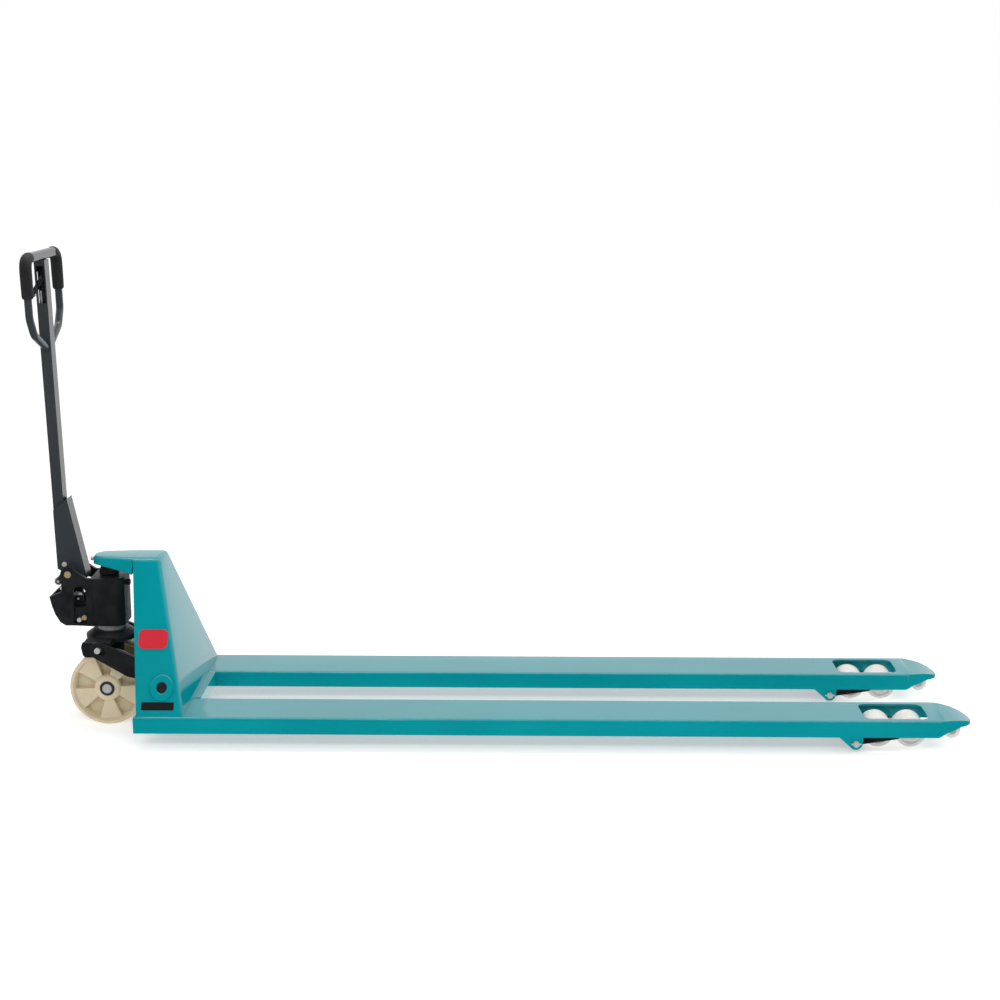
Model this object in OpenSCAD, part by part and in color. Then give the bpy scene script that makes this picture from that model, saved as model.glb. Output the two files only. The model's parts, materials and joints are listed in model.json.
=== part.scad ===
// Hand pallet truck with long forks, tandem load rollers and a hydraulic hand pump.
// Millimetres, +Z up, forks pointing along +X. The origin is on the floor, under the
// middle of the truck's overall box. The truck is drawn with its forks lowered.

/* [Forks] */
// Length of a fork from its heel to its tip
fork_len = 2160; // [1400:10:2600]
// Width over both forks
forks_w = 540; // [520:5:680]
// Width of one fork
fork_w = 160; // [145:1:192]
// Height of the forks' top faces when lowered
fork_top = 85; // [84:1:95]
// Depth of a fork's side walls
fork_wall = 43; // [40:1:50]
// Thickness of the forks' pressed sheet
fork_sheet = 5; // [4:0.5:6]
// Length of the tapered nose
nose_len = 104; // [85:1:130]
// Drop of the top face from the nose's root to the tip
nose_drop = 19; // [12:1:23]

/* [Frame] */
// Height of the front plate's top edge
frame_h = 440; // [420:5:540]
// Thickness of the front and side plates
plate_t = 6; // [4:0.5:8]
// Distance from the fork heels to the front plate's foot
foot_x = 128; // [118:1:155]
// Distance from the fork heels to the front plate's top edge
plate_top_x = 42; // [30:1:55]
// Half width of the front plate at its top edge
plate_top_half = 60; // [52:1:72]
// Height of the top arm over the ram
arm_top = 450; // [448:1:552]
// Radius of the top arm's round nose
arm_nose_r = 40; // [36:1:46]

/* [Lift] */
// Lift height
lift = 115; // [95:1:140]
// Steepest angle of the roller yokes below level, at full lift
yoke_end_angle = 66.6; // [60:0.1:70]
// Distance from a fork's tip back to its yoke pivot
pivot_from_tip = 308; // [290:1:340]
// Height of the yoke pivot when lowered
pivot_h = 26; // [22:1:28]
// Radius from the yoke pivot to the push rod's pin
lug_r = 41; // [36:0.5:42]
// Diameter of the yoke pivot pin
pivot_pin_d = 16; // [12:1:20]
// Diameter of the rocker shaft
shaft_d = 26; // [20:1:30]
// Height of the rocker shaft
shaft_h = 151; // [148:1:158]
// Distance from the fork heels to the rocker shaft
shaft_x = 69; // [62:1:74]

/* [Rollers and wheels] */
// Diameter of a load roller
roller_d = 80; // [70:1:82]
// Width of a load roller
roller_w = 70; // [55:1:72]
// Gap between the two load rollers of a pair
roller_gap = 4; // [3:0.5:10]
// Diameter of the small roller under a fork's tip
tip_roller_d = 42; // [36:1:44]
// Diameter of a steering wheel
wheel_d = 200; // [170:1:202]
// Width of a steering wheel
wheel_w = 50; // [40:1:50]
// Diameter of the steering axle
axle_d = 25; // [20:1:30]

/* [Pump and tiller] */
// Distance from the fork heels back to the steering axis
steer_back = 108; // [104:1:120]
// Diameter of the lift ram
ram_d = 40; // [32:1:44]
// Half width of the oil tank
tank_half = 56; // [52:1:60]
// Height of the tiller's pivot pin
tiller_pivot_h = 406; // [402:1:412]
// Diameter of the tiller's pivot pin
tiller_pin_d = 18; // [14:1:20]
// Backward lean of the upright tiller, in degrees
tiller_lean = 1.33; // [0:0.01:4]
// Length of the tiller from its pivot to the handle bar's middle
tiller_len = 836; // [760:1:1000]
// Half width of the handle loop, to the middle of its tube
handle_half = 143; // [115:1:170]
// Diameter of the rubber grips
grip_d = 31; // [28:1:36]

/* [Hidden] */
$fn = 64;
paint = [0.0, 0.55, 0.57];
casting = [0.13, 0.14, 0.15];
tiller_grey = [0.22, 0.24, 0.26];
zinc = [0.78, 0.78, 0.78];
nylon = [0.93, 0.92, 0.88];
tan_nylon = [0.73, 0.68, 0.55];
rubber = [0.05, 0.05, 0.05];

// Clearances: a shaft that turns in a bore, a face that passes a face, a pinned joint
// whose linkage is open, and the overrun of a cut
running = 0.05;
side_play = 0.5;
open_play = 1.2;
cut = 1;

// Forks
fork_half = fork_w / 2;
fork_y = forks_w / 2 - fork_half;
inner_half = fork_half - fork_sheet;
fork_bottom = fork_top - fork_wall;
fork_bend_r = 9;
nose_x = fork_len - nose_len;

// The yoke reaches full lift at yoke_end_angle below level
pivot_x = fork_len - pivot_from_tip;
bogie_h = roller_d / 2 + 1;
bogie_rise = bogie_h - pivot_h;
yoke_len = (lift - bogie_rise) / sin(yoke_end_angle);
bogie_reach = sqrt(pow(yoke_len, 2) - pow(bogie_rise, 2));
bogie_x = pivot_x + bogie_reach;
yoke_turn = yoke_end_angle + asin(bogie_rise / yoke_len);
lug_angle = 90 + yoke_turn / 2;
lug_x = pivot_x + lug_r * cos(lug_angle);
lug_z = pivot_h + lug_r * sin(lug_angle);
rod_travel = 2 * lug_r * sin(yoke_turn / 2);
roller_pitch = roller_d + roller_gap;
window_len = roller_pitch + roller_d + 1;
window_half = 58;
window_r = 22;

// The rocker turns through rocker_turn while the thrust base drops by the lift height
steer_x = -steer_back;
link_x = steer_x - 12;
link_h = 216;
link_reach = shaft_x - link_x;
link_rise = link_h - shaft_h;
rocker_turn = atan2(link_rise, link_reach) - atan2(link_rise - lift, link_reach);
crank_r = rod_travel / (2 * sin(rocker_turn / 2));
crank_x = shaft_x - crank_r * sin(rocker_turn / 2);
crank_z = shaft_h - crank_r * cos(rocker_turn / 2);
link_r_min = link_reach;
link_r_max = max(norm([link_reach, link_rise]), norm([link_reach, link_rise - lift]));
link_pin_r = 8;
rod_pin_r = 5;
rod_t = 12;
rod_h = 20;
rod_z = (crank_z + shaft_h - crank_r + lug_z + pivot_h + lug_r) / 4;
shaft_r = shaft_d / 2;
rocker_r = 21;

// Leaning side plates: half width of the frame's outer face at a height
foot_half = forks_w / 2 - fork_bend_r;
function frame_half(z) =
    foot_half - (z - fork_top) * (foot_half - plate_top_half) / (frame_h - fork_top);
side_lean = atan2(foot_half - plate_top_half, frame_h - fork_top);
side_slope = (frame_h - fork_top) / cos(side_lean);
front_lean = atan2(foot_x - plate_top_x, frame_h - fork_top);
front_slope = (frame_h - fork_top) / cos(front_lean);
arm_half = plate_top_half - plate_t * cos(side_lean);
bend_r = arm_top - frame_h;
bend_x = plate_top_x - bend_r / cos(front_lean);
plate_rear_x = 7;
plate_rear_top_x = -32;
fold_r = 7;
fold_trim = 6.6;
boss_r = 30;
boss_proud = 4;

// Rocker pieces across the frame
rocker_half = frame_half(shaft_h + rocker_r) - plate_t / cos(side_lean) - 3;
lift_arm_y = 111;
lift_arm_t = 10;

// Widths inside a fork, measured from its own middle
bogie_plate_y = roller_w / 2 + 1;
bogie_plate_t = 6;
yoke_arm_y = bogie_plate_y + bogie_plate_t + side_play;
yoke_arm_t = 8;
yoke_hub_r = 14;
lug_y = rod_t / 2 + side_play;
lug_t = 8;
pin_r = 8;
pivot_pin_r = pivot_pin_d / 2;

// Steering group
wheel_r = wheel_d / 2;
axle_r = axle_d / 2;
wheel_y = 61;
bearing_r = 20;
neck_r = 30;
ram_r = ram_d / 2;
tank_x0 = -144;
tank_x1 = -62;
tank_top = 394;
tank_bottom = 264;
base_top = 246;
base_r = 68;

// Tiller frame: its origin is on the pivot pin, its z axis up the tiller
tiller_x = -205;
tube_x = -20.5;
tube_d = 28;
tube_w = 40;
tube_wall = 3;
bracket_t = 5;
bracket_half = tube_w / 2 + bracket_t;
cheek_y = 47;
cheek_t = 10;
tube_bottom = 30;
lever_z = tiller_len - 57;
lever_x = -19;
lever_hub_r = 7;
lever_pin_r = 4;
lever_bar = [-52, lever_z - 48];
lever_bar_r = 5;
rod_arm = 8;
slot_z0 = lever_z - 66;
slot_z1 = lever_z + 30;
handle_r = 10;
handle_low_z = tiller_len - 246;
press_x = -36.6;
press_z = -27.2;
press_r = 11;

// Plunger
plunger_x = -226;
plunger_top = 356;
plunger_r = 9;
plunger_head_r = 17;
plunger_floor = 312;
valve_x = -190;
valve_h = plunger_floor + 18;

// The release lever's bar is the rearmost part
rear_reach = -tiller_x + (lever_bar_r - lever_bar[0]) * cos(tiller_lean)
    + lever_bar[1] * sin(tiller_lean);
mid_x = (fork_len - rear_reach) / 2;

// Placing and small building blocks
module truck() translate([-mid_x, 0, 0]) children();
module at_fork(side) translate([0, side * fork_y, 0]) children();
module both_sides() { children(); mirror([0, 1, 0]) children(); }
module in_tiller() translate([tiller_x, 0, tiller_pivot_h]) rotate([0, -tiller_lean, 0])
    children();

// A flat shape drawn in the XZ plane, from y0 to y1
module plate_xz(y0, y1) translate([0, y1, 0]) rotate([90, 0, 0]) linear_extrude(y1 - y0)
    children();

// A bar along Y
module rod_y(x, z, r, y0, y1) translate([x, y1, z]) rotate([90, 0, 0])
    cylinder(r = r, h = y1 - y0);

// A box given by two corners
module block(a, b) translate(a) cube(b - a);

// A bar between two points
module rod_between(p, q, r) {
    d = q - p;
    translate(p) rotate([0, acos(d[2] / norm(d)), atan2(d[1], d[0])])
        cylinder(r = r, h = norm(d));
}

// A flat link with round ends, in the XZ plane
module link_bar(p, rp, q, rq, y0, y1) {
    d = q - p;
    way = atan2(d[1], d[0]);
    open = acos((rp - rq) / norm(d));
    rod_y(p[0], p[1], rp, y0, y1);
    rod_y(q[0], q[1], rq, y0, y1);
    plate_xz(y0, y1) polygon([
        p + rp * [cos(way + open), sin(way + open)], p + rp * [cos(way - open), sin(way - open)],
        q + rq * [cos(way - open), sin(way - open)], q + rq * [cos(way + open), sin(way + open)]]);
}

// Half width of the fork's nose, for t from 0 at its root to 1 at the tip
function nose_half(t, half) = half * pow(max(0, 1 - pow(t, 1.2)), 0.445);
nose_steps = [for (i = [0:14]) 1 - pow(1 - i / 14, 1.8)];

// ---- Forks ----
module fork_plan(inset) {
    half = fork_half - inset;
    tip = nose_len - 1.4 * inset;
    polygon(concat(
        [[-cut, -half]], [for (t = nose_steps) [nose_x + t * tip, -nose_half(t, half)]],
        [for (i = [len(nose_steps) - 2:-1:0])
            [nose_x + nose_steps[i] * tip, nose_half(nose_steps[i], half)]],
        [[-cut, half]]));
}

module fork_side(inset) {
    top = fork_top - inset;
    drop = [for (i = [0:8]) [nose_x + nose_len * i / 8, top - nose_drop * pow(i / 8, 3)]];
    polygon(concat([[-cut, inset > 0 ? 0 : fork_bottom], [-cut, top]], drop,
        inset > 0 ? [[fork_len, 0]]
            : [[fork_len, fork_bottom + 18], [nose_x + 70, fork_bottom + 20],
               [nose_x + 29, fork_bottom + 10], [nose_x + 9, fork_bottom]]));
}

module fork_body(inset) {
    half = fork_half - inset;
    r = fork_bend_r - inset;
    intersection() {
        union() {
            block([0, -half, 0], [fork_len, half, fork_top - inset - r]);
            block([0, -half + r, 0], [fork_len, half - r, fork_top - inset]);
            for (s = [-1, 1]) translate([0, s * (half - r), fork_top - inset - r])
                rotate([0, 90, 0]) cylinder(r = r, h = fork_len);
        }
        linear_extrude(fork_top) fork_plan(inset);
        plate_xz(-fork_half, fork_half) fork_side(inset);
    }
}

module window_cut() {
    x0 = bogie_x - window_len / 2;
    x1 = bogie_x + window_len / 2;
    z0 = fork_top - fork_sheet - cut;
    z1 = fork_top + cut;
    block([x0 + window_r, -window_half, z0], [x1 - window_r, window_half, z1]);
    block([x0, -window_half + window_r, z0], [x1, window_half - window_r, z1]);
    for (x = [x0 + window_r, x1 - window_r], s = [-1, 1])
        translate([x, s * (window_half - window_r), z0]) cylinder(r = window_r, h = z1 - z0);
}

// The ears that hold the yoke's pivot pin are part of the side walls
module fork_ears() for (s = [-1, 1]) {
    y0 = s > 0 ? inner_half : -fork_half;
    plate_xz(y0, y0 + fork_sheet) polygon([
        [pivot_x - 44, fork_bottom + cut], [pivot_x - 13, pivot_h - 10.5],
        [pivot_x, pivot_h], [pivot_x + 18, pivot_h], [pivot_x + 18, fork_bottom + cut]]);
    rod_y(pivot_x, pivot_h, 17, y0, y0 + fork_sheet);
}

module fork(side) color(paint) truck() at_fork(side) difference() {
    union() {
        difference() {
            fork_body(0);
            fork_body(fork_sheet);
        }
        fork_ears();
    }
    window_cut();
    rod_y(pivot_x, pivot_h, pivot_pin_r + running, -fork_half - cut, fork_half + cut);
    crank_slot_half = crank_r * sin(rocker_turn / 2) + 22;
    block([shaft_x - crank_slot_half, -rod_t, fork_top - fork_sheet - cut],
        [shaft_x + crank_slot_half, rod_t, fork_top + cut]);
}
module left_fork() fork(1);
module right_fork() fork(-1);

// ---- Frame ----
module below_plates() block([-cut, -forks_w, 0], [foot_x + fork_w, forks_w, fork_top]);

// Front plate, with the round folds down its sides and the bend at its top
module front_plate() color(paint) truck() {
    trim = 6.2;
    difference() {
        translate([foot_x, 0, fork_top]) rotate([90 - front_lean, 0, 90])
            translate([0, 0, -plate_t]) linear_extrude(plate_t) polygon([
                [-foot_half + trim, 0], [foot_half - trim, 0],
                [plate_top_half - trim, front_slope], [trim - plate_top_half, front_slope]]);
        below_plates();
        both_sides() side_plate_room();
    }
    rod_y(bend_x, arm_top - bend_r, bend_r - running, -arm_half, arm_half);
    both_sides() difference() {
        rod_between(fold_point(fork_top - 3), fold_point(frame_h - 1), fold_r - running);
        below_plates();
        side_plate_room();
    }
}
// What the left side plate fills, up to its edge at the fold
module side_plate_room() mirror([0, 1, 0]) on_side_plane() translate([0, 0, -plate_t - running])
    linear_extrude(plate_t + cut) side_plate_outline(fold_trim - running);
// Middle of the round fold between the front and side faces, at a height
function fold_point(z) = [foot_x - (z - fork_top) * tan(front_lean), frame_half(z), z]
    - fold_r / (1 + sin(front_lean) * sin(side_lean)) * fold_normals();
function fold_normals() = [cos(front_lean), 0, sin(front_lean)]
    + [0, cos(side_lean), sin(side_lean)];

// Side plate in its own plane: x along the truck, y up the slope
module side_plate_outline(trim) polygon([
    [plate_rear_x, 0], [foot_x - trim, 0], [plate_top_x - trim, side_slope],
    [plate_rear_top_x, side_slope]]);
module on_side_plane() translate([0, -foot_half, fork_top]) rotate([90 - side_lean, 0, 0])
    children();

module side_plate() color(paint) truck() difference() {
    on_side_plane() translate([0, 0, -plate_t]) linear_extrude(plate_t) side_plate_outline(fold_trim);
    below_plates();
    rod_y(shaft_x, shaft_h, shaft_r + running, -foot_half - 20, 0);
}
module right_side_plate() side_plate();
module left_side_plate() mirror([0, 1, 0]) side_plate();

// Pads pressed round the ends of the rocker shaft
module shaft_bosses() color(paint) truck() both_sides() difference() {
    intersection() {
        rod_y(shaft_x, shaft_h, boss_r, -foot_half - 20, 0);
        on_side_plane() translate([plate_rear_x, 0, 0]) cube([foot_x, side_slope, boss_proud]);
    }
    rod_y(shaft_x, shaft_h, shaft_r + running, -foot_half - 20, 0);
}

// Channel over the ram, narrowing to a round nose
module arm_plan(inset) {
    r = arm_nose_r - inset;
    half = arm_half - inset;
    translate([steer_x, 0]) circle(r = r);
    polygon([[steer_x, -r], [plate_rear_top_x, -half], [bend_x, -half],
        [bend_x, half], [plate_rear_top_x, half], [steer_x, r]]);
}
module top_arm() color(paint) truck() {
    nose_low = arm_top - 20;
    rear_low = arm_top - 40;
    difference() {
        translate([0, 0, rear_low]) linear_extrude(arm_top - rear_low) arm_plan(0);
        translate([0, 0, rear_low - cut]) linear_extrude(arm_top - rear_low - plate_t + cut)
            arm_plan(plate_t);
        plate_xz(-foot_half, foot_half) polygon([
            [steer_x - 60, rear_low - cut], [steer_x - 60, nose_low], [steer_x - 16, nose_low],
            [steer_x + 56, rear_low], [steer_x + 56, rear_low - cut]]);
        translate([steer_x - arm_nose_r - cut, 0, arm_top - 13]) rotate([0, 90, 0])
            cylinder(r = arm_screw_r + running, h = 12);
        rod_y(bend_x, arm_top - bend_r, bend_r, -arm_half - cut, arm_half + cut);
        under_bend();
    }
}
// Room for the front plate's slope and side folds under the bend
module under_bend() block([bend_x - bend_r, -foot_half, 0], [foot_x, foot_half, arm_top - bend_r]);
arm_screw_r = 3;
module arm_screw() color(zinc) truck() translate([steer_x - arm_nose_r - 8, 0, arm_top - 13])
    rotate([0, 90, 0]) {
        cylinder(r = arm_screw_r, h = 16);
        cylinder(r = 5.5, h = 8);
    }

// Angle that ties the forks together under the front plate's foot
module cross_plate() color(paint) truck() {
    half = fork_y - fork_half;
    x1 = foot_x + 18;
    block([x1 - plate_t, -half, fork_bottom + 1], [x1, half, fork_top]);
    block([foot_x - 12, -half, fork_top - plate_t], [x1, half, fork_top]);
}

// Blank rating labels and badges
label_t = 0.6;
module rating_labels() color("black") truck() both_sides() on_side_plane()
    translate([19, 16, 0]) cube([84, 21, label_t]);
module side_badges() color("crimson") truck() both_sides() on_side_plane()
    translate([38, 203, 0]) linear_extrude(label_t) polygon([
        [-38, -17], [-29, -26], [29, -26], [38, -17], [38, 17], [29, 26], [-29, 26], [-38, 17]]);

// ---- Lifting linkage ----
shaft_end = frame_half(shaft_h) + 3;
module rocker_shaft() color([0.1, 0.1, 0.1]) truck()
    rod_y(shaft_x, shaft_h, shaft_r, -shaft_end, shaft_end);
module rocker_tube() color(casting) truck() difference() {
    rod_y(shaft_x, shaft_h, rocker_r, -rocker_half, rocker_half);
    rod_y(shaft_x, shaft_h, shaft_r + running, -rocker_half - cut, rocker_half + cut);
}

// Cranked arms from the thrust base's pins to the rocker tube; the rear eye is a slot
module lift_arms() color(casting) truck() both_sides() {
    y0 = -lift_arm_y - lift_arm_t;
    y1 = -lift_arm_y;
    knee = [(shaft_x + link_x) / 2 - 8, (shaft_h + link_h) / 2 - 11];
    way = atan2(link_rise, -link_reach);
    difference() {
        union() {
            link_bar([shaft_x, shaft_h], rocker_r + 9, knee, 29, y0, y1);
            link_bar(knee, 29, [link_x, link_h], 22, y0, y1);
        }
        rod_y(shaft_x, shaft_h, rocker_r, y0 - cut, y1 + cut);
        for (r = [link_r_min - open_play, link_r_max + open_play])
            rod_y(shaft_x + r * cos(way), shaft_h + r * sin(way), link_pin_r + open_play,
                y0 - cut, y1 + cut);
        translate([shaft_x, 0, shaft_h]) rotate([0, -way, 0])
            block([link_r_min - open_play, y0 - cut, -link_pin_r - open_play],
                [link_r_max + open_play, y1 + cut, link_pin_r + open_play]);
    }
}

// Short arms that push the rods, each with its pin
module crank_arms() color(casting) truck() for (side = [-1, 1]) at_fork(side) {
    half = rod_t / 2 - side_play;
    difference() {
        link_bar([shaft_x, shaft_h], rocker_r + 7, [crank_x, crank_z], 11, -half, half);
        rod_y(shaft_x, shaft_h, rocker_r, -half - cut, half + cut);
    }
    rod_y(crank_x, crank_z, rod_pin_r, -rod_t / 2 - 7, rod_t / 2 + 7);
}

// A slot for a pin that swings between two heights
module pin_slot(x, z0, z1, y) {
    r = rod_pin_r + open_play;
    rod_y(x, z0, r, -y, y);
    rod_y(x, z1, r, -y, y);
    block([x - r, -y, z0], [x + r, y, z1]);
}

module push_rod(side) color(casting) truck() at_fork(side) difference() {
    half = rod_t / 2;
    top = rod_z + rod_h / 2;
    low = rod_z - rod_h / 2;
    bar_x = crank_x + 40;
    union() {
        block([bar_x, -half, low], [lug_x, half, top]);
        both_sides() block([crank_x - 14, half, shaft_h - crank_r - 13],
            [bar_x + 40, half + 6, crank_z + 8]);
        link_bar([lug_x, lug_z], 11, [lug_x, pivot_h + lug_r], 10.99, -half, half);
    }
    pin_slot(crank_x, shaft_h - crank_r, crank_z, half + 7);
    pin_slot(lug_x, lug_z, pivot_h + lug_r, half + cut);
}
module left_push_rod() push_rod(1);
module right_push_rod() push_rod(-1);

module yoke_pivot_pins() color(zinc) truck() for (side = [-1, 1]) at_fork(side)
    difference() {
        rod_y(pivot_x, pivot_h, pivot_pin_r, -fork_half - 9, fork_half + 9);
        for (s = [-1, 1]) translate([pivot_x - 20, s * (fork_half + 4.5), pivot_h])
            rotate([0, 90, 0]) cylinder(r = 2 + running, h = 40);
    }
module pivot_roll_pins() color(zinc) truck() for (side = [-1, 1]) at_fork(side)
    for (s = [-1, 1]) translate([pivot_x - 13, s * (fork_half + 4.5), pivot_h])
        rotate([0, 90, 0]) cylinder(r = 2, h = 26);

module yoke(side) color(casting) truck() at_fork(side) difference() {
    hub = [pivot_x, pivot_h];
    lug = [lug_x, lug_z];
    union() {
        rod_y(pivot_x, pivot_h, yoke_hub_r, side_play - inner_half, inner_half - side_play);
        both_sides() {
            link_bar(hub, yoke_hub_r + 2, [bogie_x, bogie_h], 14, yoke_arm_y, yoke_arm_y + yoke_arm_t);
            link_bar(hub, yoke_hub_r, lug, 9, lug_y, lug_y + lug_t);
        }
        rod_y(lug_x, lug_z, rod_pin_r, -lug_y - lug_t, lug_y + lug_t);
    }
    rod_y(pivot_x, pivot_h, pivot_pin_r + running, -fork_half, fork_half);
    rod_y(bogie_x, bogie_h, pin_r + running, -fork_half, fork_half);
}
module left_yoke() yoke(1);
module right_yoke() yoke(-1);

// The bogie holds two rollers and swings on the yoke's end
module bogie_pins(side) color(zinc) truck() at_fork(side) {
    reach = yoke_arm_y + yoke_arm_t + 3;
    both_sides() rod_y(bogie_x, bogie_h, pin_r, bogie_plate_y, reach);
    for (s = [-1, 1]) rod_y(bogie_x + s * roller_pitch / 2, roller_d / 2, pin_r,
        -bogie_plate_y - bogie_plate_t, bogie_plate_y + bogie_plate_t);
}
module left_bogie_pins() bogie_pins(1);
module right_bogie_pins() bogie_pins(-1);
module bogie_plates(side) color(zinc) truck() at_fork(side) both_sides() difference() {
    x0 = bogie_x - roller_pitch / 2;
    x1 = bogie_x + roller_pitch / 2;
    y1 = bogie_plate_y + bogie_plate_t;
    union() {
        block([x0, bogie_plate_y, roller_d / 2 - 13], [x1, y1, roller_d / 2 + 13]);
        for (x = [x0, x1]) rod_y(x, roller_d / 2, 14, bogie_plate_y, y1);
    }
    for (x = [x0, x1]) rod_y(x, roller_d / 2, pin_r, bogie_plate_y - cut, y1 + cut);
    rod_y(bogie_x, bogie_h, pin_r, bogie_plate_y - cut, y1 + cut);
}
module left_bogie_plates() bogie_plates(1);
module right_bogie_plates() bogie_plates(-1);

module load_roller(side, end) color(nylon) truck() at_fork(side)
    translate([bogie_x + end * roller_pitch / 2, roller_w / 2, roller_d / 2])
    rotate([90, 0, 0]) rotate_extrude() polygon([
        [pin_r + running, 0], [pin_r + running, roller_w], [17, roller_w], [17, roller_w - 3],
        [29, roller_w - 3], [29, roller_w], [roller_d / 2 - 3, roller_w], [roller_d / 2, roller_w - 3],
        [roller_d / 2, 3], [roller_d / 2 - 3, 0], [29, 0], [29, 3], [17, 3], [17, 0]]);
module left_rear_roller() load_roller(1, -1);
module left_front_roller() load_roller(1, 1);
module right_rear_roller() load_roller(-1, -1);
module right_front_roller() load_roller(-1, 1);

// Small rollers under the tips, on brackets that hang from the nose's top sheet
tip_roller_x = nose_x + 51;
tip_roller_h = fork_bottom + 5;
tip_half = 36;
tip_pin_r = 5;
module tip_roller_mounts() color(zinc) truck() for (side = [-1, 1]) at_fork(side) {
    intersection() {
        both_sides() plate_xz(tip_half + 1, tip_half + 5) polygon([
            [tip_roller_x - 12, tip_roller_h - 2], [tip_roller_x - 12, fork_top],
            [tip_roller_x + 9, fork_top], [tip_roller_x + 9, tip_roller_h - 2],
            [tip_roller_x + 5, tip_roller_h - 9], [tip_roller_x - 5, tip_roller_h - 9]]);
        fork_body(fork_sheet);
    }
    rod_y(tip_roller_x, tip_roller_h, tip_pin_r, -tip_half - 6, tip_half + 6);
}
module tip_roller(side) color(nylon) truck() at_fork(side) difference() {
    rod_y(tip_roller_x, tip_roller_h, tip_roller_d / 2, -tip_half, tip_half);
    rod_y(tip_roller_x, tip_roller_h, tip_pin_r + running, -tip_half - cut, tip_half + cut);
}
module left_tip_roller() tip_roller(1);
module right_tip_roller() tip_roller(-1);

// ---- Ram and thrust base ----
ram_bottom = tank_top - lift - 60;
ram_head_z = tank_top + 1;
module at_steer() translate([steer_x, 0, 0]) children();
module ram_rod() color("silver") truck() at_steer() translate([0, 0, ram_bottom])
    cylinder(r = ram_r, h = ram_head_z - ram_bottom);
module ram_head() color(casting) truck() at_steer() translate([0, 0, ram_head_z])
    rotate_extrude() polygon([[0, 0], [24, 0], [26, 2], [26, 15], [22, 19],
        [22, arm_top - plate_t - ram_head_z], [0, arm_top - plate_t - ram_head_z]]);

module thrust_base() color(casting) truck() difference() {
    union() {
        at_steer() rotate_extrude() polygon([
            [0, base_top - 26], [base_r - 4, base_top - 26], [base_r, base_top - 22],
            [base_r, base_top - 14], [48, base_top], [0, base_top]]);
        block([steer_x - 52, -lift_arm_y + 1, base_top - 26], [steer_x + 20, lift_arm_y - 1, base_top - 12]);
        both_sides() base_ear();
    }
    at_steer() cylinder(r = neck_r + running, h = base_top + cut);
    rod_y(link_x, link_h, link_pin_r + running, -lift_arm_y - cut, lift_arm_y + cut);
}
// Skirt that carries the link pin, outside the wheels' sweep
module base_ear() {
    x0 = steer_x - 54;
    x1 = steer_x + 20;
    low = link_h - 22;
    plate_xz(lift_arm_y - 11, lift_arm_y - 1) polygon([
        [x0, base_top - 12], [x0 - 4, base_top - 24], [x0, low + 6], [x0 + 6, low],
        [x1 - 10, low], [x1, low + 10], [x1, base_top - 12]]);
}
module link_pins() color(zinc) truck() both_sides()
    rod_y(link_x, link_h, link_pin_r, -lift_arm_y - lift_arm_t - 4, 12 - lift_arm_y);
module thrust_bearing() color("silver") truck() at_steer() translate([0, 0, base_top])
    difference() {
        cylinder(r = 37, h = tank_bottom - base_top);
        translate([0, 0, -cut]) cylinder(r = neck_r, h = tank_bottom - base_top + 2 * cut);
    }

// ---- Pump ----
// Neck that carries the steering axle and turns in the thrust base
module pump_base() color(casting) truck() difference() {
    union() {
        at_steer() translate([0, 0, wheel_r - 24]) cylinder(r = neck_r, h = tank_bottom - wheel_r + 24);
        rod_y(steer_x, wheel_r, 24, -34, 34);
    }
    rod_y(steer_x, wheel_r, axle_r + running, -35, 35);
    at_steer() translate([0, 0, ram_bottom - 10]) cylinder(r = ram_r + running, h = tank_bottom);
}

// Tank, with cheeks that carry the tiller and wrap round the plunger
module tank() {
    r = 26;
    block([tank_x0, -tank_half, tank_bottom], [tank_x1 - r, tank_half, tank_top]);
    block([tank_x1 - r - cut, r - tank_half, tank_bottom], [tank_x1, tank_half - r, tank_top]);
    for (s = [-1, 1]) translate([tank_x1 - r, s * (tank_half - r), tank_bottom])
        cylinder(r = r, h = tank_top - tank_bottom);
}
guard = [[-257, 345], [-251, 318], [-243, 295], [-231, 275], [-217, 266], [-190, 266]];
module cheek_outline() polygon(concat(
    [[tank_x0 + cut, tank_bottom], [tank_x0 + cut, tank_top], [-158, tank_top + 2],
     [tiller_x + 18, tiller_pivot_h + 10], [tiller_x, tiller_pivot_h],
     [tiller_x - 20, tiller_pivot_h - 2], [tiller_x - 18, 359], [-232, 355]], guard));
module pocket_outline() polygon([
    [tank_x0 - 4, tank_top + 40], [tank_x0 - 4, plunger_floor], [-242, plunger_floor],
    [-247, 320], [-253, 350], [-253, tank_top + 40]]);
module pump_housing() color(casting) truck() difference() {
    union() {
        tank();
        plate_xz(-cheek_y - cheek_t, cheek_y + cheek_t) cheek_outline();
        rod_y(tiller_x, tiller_pivot_h, 20, -cheek_y - cheek_t, cheek_y + cheek_t);
    }
    plate_xz(-cheek_y, cheek_y) pocket_outline();
    rod_y(tiller_x, tiller_pivot_h, 21, -cheek_y, cheek_y);
    rod_y(tiller_x, tiller_pivot_h, tiller_pin_d / 2 + running, -tank_half - 9, tank_half + 9);
    at_steer() translate([0, 0, tank_bottom - cut])
        cylinder(r = ram_r + running, h = tank_top - tank_bottom + 2 * cut);
    valve_window();
    translate([plunger_x, 0, plunger_floor - 30]) cylinder(r = plunger_r + running, h = 60);
    translate([tank_x1 + cut, 0, 372]) rotate([0, -90, 0]) cylinder(r = 6 + running, h = 14);
}
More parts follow.
